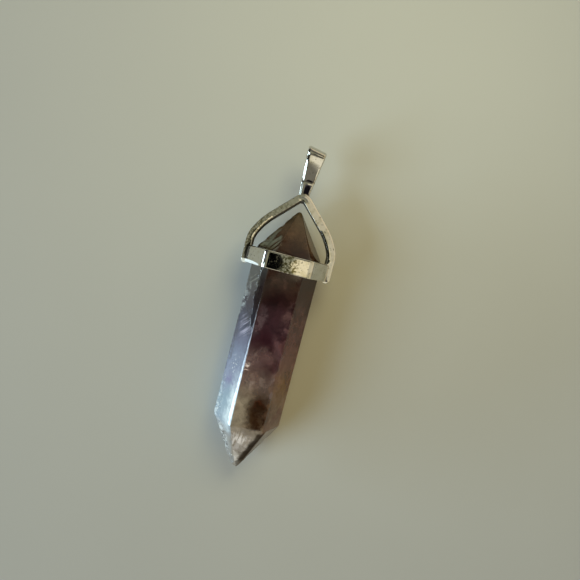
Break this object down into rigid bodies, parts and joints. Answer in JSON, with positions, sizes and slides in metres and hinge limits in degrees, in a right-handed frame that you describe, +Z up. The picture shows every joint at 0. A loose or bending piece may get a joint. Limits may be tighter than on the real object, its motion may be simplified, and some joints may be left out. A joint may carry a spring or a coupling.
{
  "type": "amethyst crystal pendant",
  "caption": "Six-sided crystal with a point at each end, held by a hexagonal metal collar with a bow over the upper point and a strap bail.",
  "frame": {"origin": "middle of the pendant's footprint on the surface it lies on", "axes": "+Y along the pendant from the lower point to the bail, +Z up from the surface, +X to the right seen from above with the bail away from the viewer"},
  "size_m": [0.0112, 0.041, 0.01],
  "materials": {
    "stone": "polished, clear with veils",
    "metal": "polished silver plate"
  },
  "bodies": {
    "root": {"crystal": "stone", "cap": "metal"}
  },
  "joints": []
}
